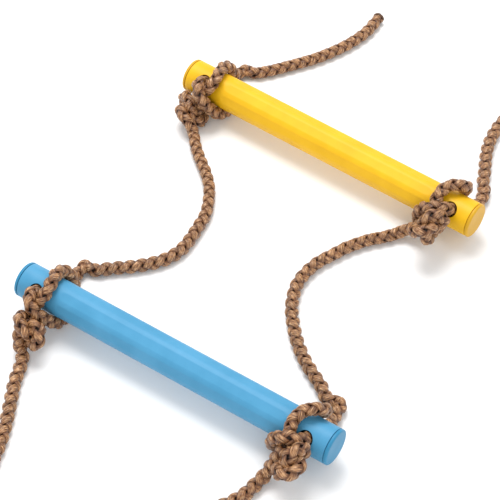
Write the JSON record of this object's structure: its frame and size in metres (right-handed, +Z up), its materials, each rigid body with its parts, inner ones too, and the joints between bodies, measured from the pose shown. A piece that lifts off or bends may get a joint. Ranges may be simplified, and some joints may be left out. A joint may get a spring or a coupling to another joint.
{
  "type": "rope ladder section",
  "caption": "Rope ladder section: round plastic rungs, each drilled near its ends, hitched and knotted onto braided side ropes; lies flat and folds between rungs.",
  "frame": {"origin": "on the surface that it lies on, under the centre of the box round the two rungs and their hitches", "axes": "+X along the yellow rung towards its right end, +Y towards the head of the ladder, +Z up"},
  "size_m": [0.3568, 0.703, 0.0615],
  "materials": {
    "blue_left_end_knot": "braided brown polyethylene fibre, slightly glossy",
    "blue_left_end_plug": "moulded polypropylene, satin",
    "blue_left_hitch": "braided brown polyethylene fibre, slightly glossy",
    "blue_left_tail": "braided brown polyethylene fibre, slightly glossy",
    "blue_right_end_knot": "braided brown polyethylene fibre, slightly glossy",
    "blue_right_end_plug": "moulded polypropylene, satin",
    "blue_right_hitch": "braided brown polyethylene fibre, slightly glossy",
    "blue_right_tail": "braided brown polyethylene fibre, slightly glossy",
    "blue_rung_tube": "extruded polyethylene, satin, with shallow grip flats",
    "left_bay_rope_lower": "braided brown polyethylene fibre, slightly glossy",
    "left_bay_rope_upper": "braided brown polyethylene fibre, slightly glossy",
    "right_bay_rope_lower": "braided brown polyethylene fibre, slightly glossy",
    "right_bay_rope_upper": "braided brown polyethylene fibre, slightly glossy",
    "yellow_left_end_plug": "moulded polypropylene, satin",
    "yellow_left_hitch": "braided brown polyethylene fibre, slightly glossy",
    "yellow_left_sealed_tip": "melted and set fibre end",
    "yellow_left_tail": "braided brown polyethylene fibre, slightly glossy",
    "yellow_right_end_plug": "moulded polypropylene, satin",
    "yellow_right_hitch": "braided brown polyethylene fibre, slightly glossy",
    "yellow_right_sealed_tip": "melted and set fibre end",
    "yellow_right_tail": "braided brown polyethylene fibre, slightly glossy",
    "yellow_rung_tube": "extruded polyethylene, satin, with shallow grip flats"
  },
  "bodies": {
    "root": {"yellow_rung_tube": "yellow_rung_tube", "yellow_left_end_plug": "yellow_left_end_plug", "yellow_right_end_plug": "yellow_right_end_plug", "yellow_left_hitch": "yellow_left_hitch", "yellow_right_hitch": "yellow_right_hitch", "left_bay_rope_upper": "left_bay_rope_upper", "right_bay_rope_upper": "right_bay_rope_upper"},
    "blue_side": {"blue_rung_tube": "blue_rung_tube", "blue_left_end_plug": "blue_left_end_plug", "blue_right_end_plug": "blue_right_end_plug", "blue_left_hitch": "blue_left_hitch", "blue_right_hitch": "blue_right_hitch", "left_bay_rope_lower": "left_bay_rope_lower", "right_bay_rope_lower": "right_bay_rope_lower"},
    "yellow_left_tail_rope": {"yellow_left_tail": "yellow_left_tail", "yellow_left_sealed_tip": "yellow_left_sealed_tip"},
    "yellow_right_tail_rope": {"yellow_right_tail": "yellow_right_tail", "yellow_right_sealed_tip": "yellow_right_sealed_tip"},
    "blue_left_tail_rope": {"blue_left_tail": "blue_left_tail", "blue_left_end_knot": "blue_left_end_knot"},
    "blue_right_tail_rope": {"blue_right_tail": "blue_right_tail", "blue_right_end_knot": "blue_right_end_knot"}
  },
  "joints": [
    {"name": "bay_fold", "type": "hinge", "parent": "root", "child": "blue_side", "pos_m": [-0.01944, 0.01284, 0.0126], "axis": [-1, 0, 0], "range_deg": [0, 135]},
    {"name": "yellow_left_tail_lift", "type": "hinge", "parent": "root", "child": "yellow_left_tail_rope", "pos_m": [-0.15687, 0.19723, 0.0128], "axis": [0.9864, -0.1644, 0], "range_deg": [0, 70]},
    {"name": "yellow_right_tail_lift", "type": "hinge", "parent": "root", "child": "yellow_right_tail_rope", "pos_m": [0.11999, 0.19723, 0.0128], "axis": [0.9864, 0.1644, 0], "range_deg": [0, 70]},
    {"name": "blue_left_tail_lift", "type": "hinge", "parent": "blue_side", "child": "blue_left_tail_rope", "pos_m": [-0.09477, -0.19514, 0.0128], "axis": [-0.8758, -0.4827, 0], "range_deg": [0, 70]},
    {"name": "blue_right_tail_lift", "type": "hinge", "parent": "blue_side", "child": "blue_right_tail_rope", "pos_m": [0.13745, -0.17684, 0.0128], "axis": [-0.9948, 0.1016, 0], "range_deg": [0, 70]}
  ]
}
